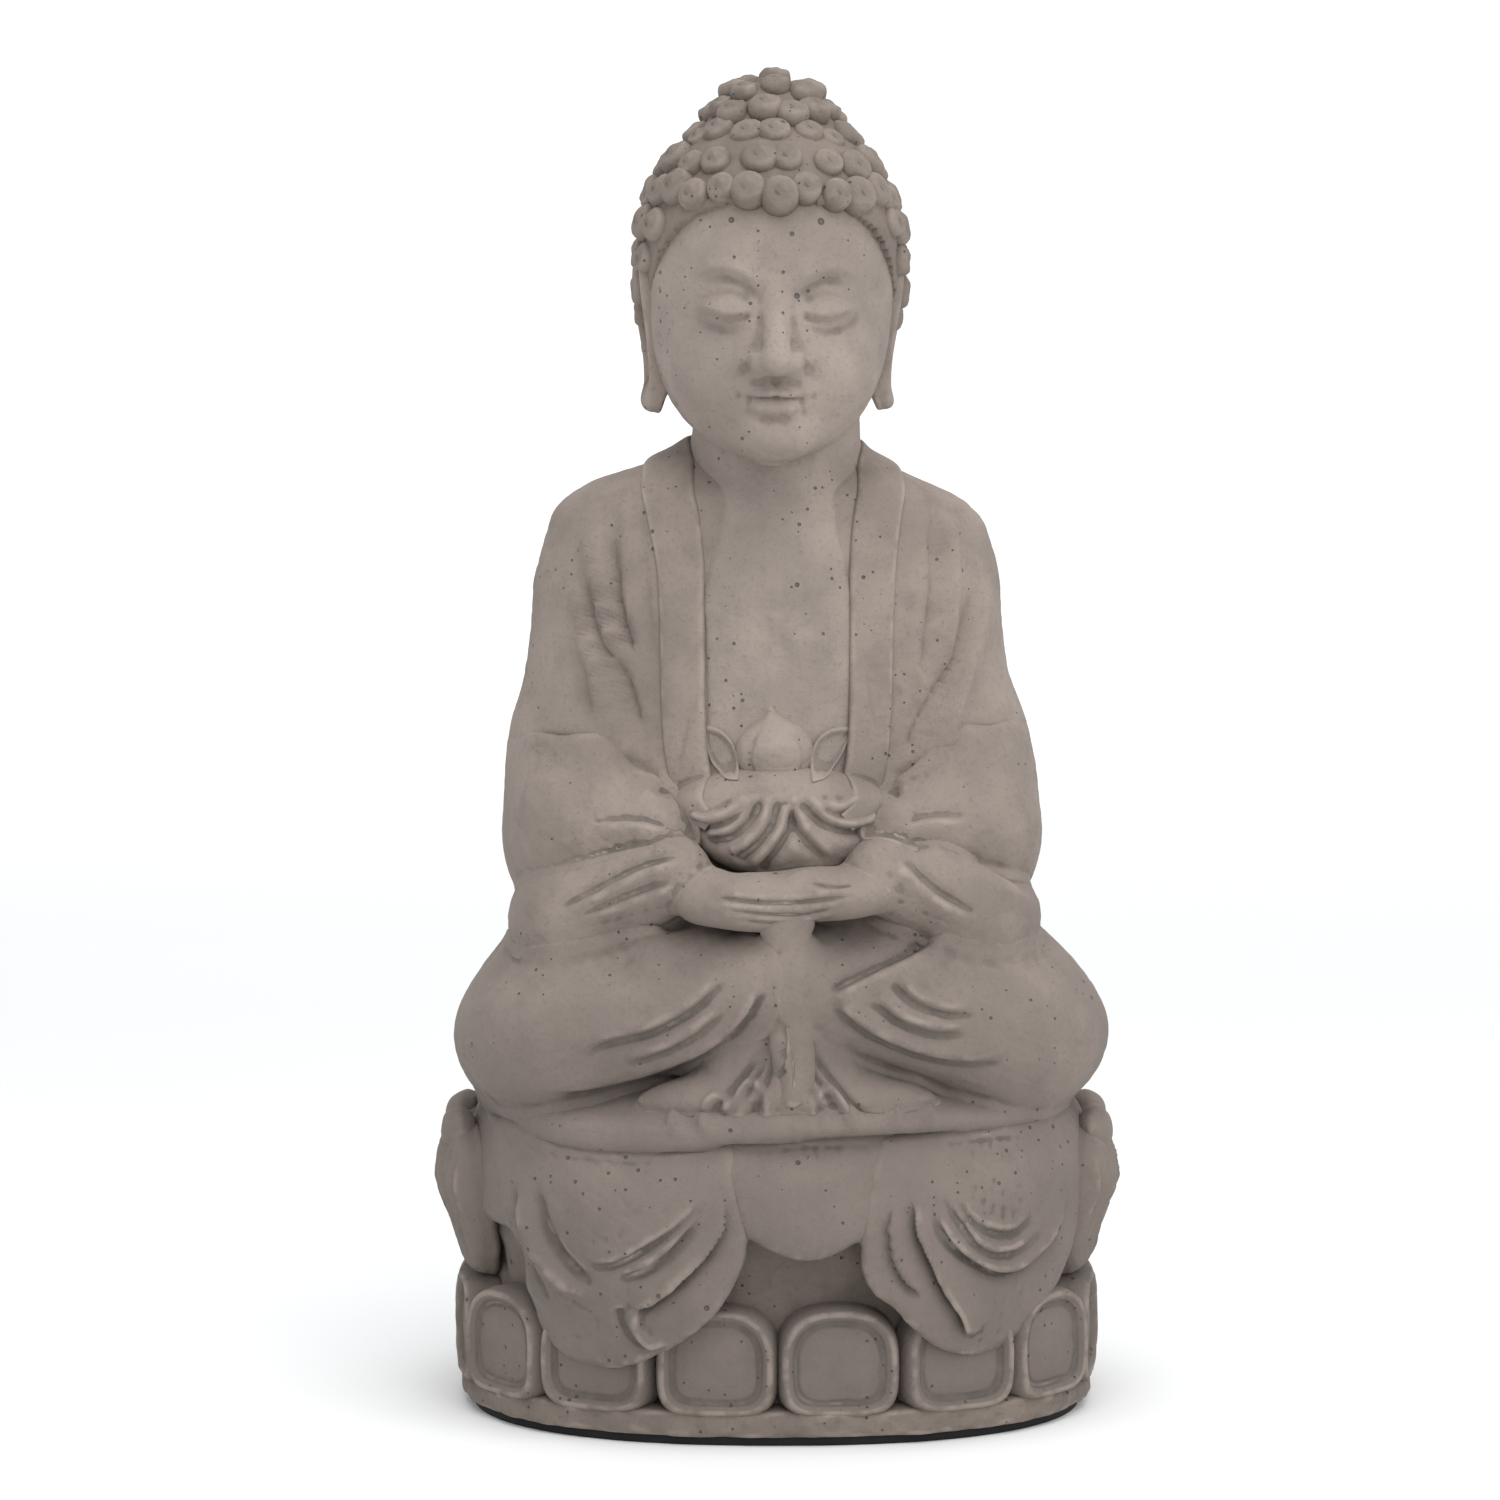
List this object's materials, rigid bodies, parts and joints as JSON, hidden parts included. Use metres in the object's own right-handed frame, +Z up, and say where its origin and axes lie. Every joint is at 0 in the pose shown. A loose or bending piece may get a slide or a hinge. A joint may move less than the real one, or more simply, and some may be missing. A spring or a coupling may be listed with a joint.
{
  "type": "seated buddha garden statue",
  "caption": "Cast statue of a robed figure seated cross-legged on a lotus throne, holding a lotus flower, for display in a garden or a room",
  "frame": {"origin": "the middle of the underside of the pad", "axes": "+Z is up and the figure faces -Y, so +X is on the viewer's right"},
  "size_m": [0.2042, 0.1621, 0.4002],
  "materials": {
    "concrete": "cast concrete, matt and slightly pitted, with pale bloom in the grooves",
    "concrete_pale": "the same cast concrete where it is smooth and paler: face, chest and hands",
    "concrete_dark": "the same cast concrete where it is rougher and darker: hair, throne and plinth",
    "pad": "thin black protective pad, matt"
  },
  "bodies": {
    "root": {"base_pad": "pad", "plinth": "concrete_dark", "lotus_core": "concrete_dark", "lower_petals": "concrete", "upper_petals": "concrete", "seat_cloth": "concrete", "centre_flap": "concrete", "left_swag": "concrete", "right_swag": "concrete", "hem": "concrete", "hem_tongue": "concrete", "left_leg": "concrete", "right_leg": "concrete", "sash_end": "concrete", "robe": "concrete", "left_sleeve": "concrete", "right_sleeve": "concrete", "left_cuff": "concrete", "right_cuff": "concrete", "left_hand": "concrete", "right_hand": "concrete", "left_lapel": "concrete", "right_lapel": "concrete", "chest": "concrete_pale", "lotus_bud": "concrete_pale", "lotus_leaves": "concrete_pale", "lotus_stems": "concrete", "head": "concrete_pale", "left_ear": "concrete_pale", "right_ear": "concrete_pale", "hair_cap": "concrete_dark", "hair_curls": "concrete_dark", "topknot": "concrete_dark", "topknot_curls": "concrete_dark"}
  },
  "joints": []
}
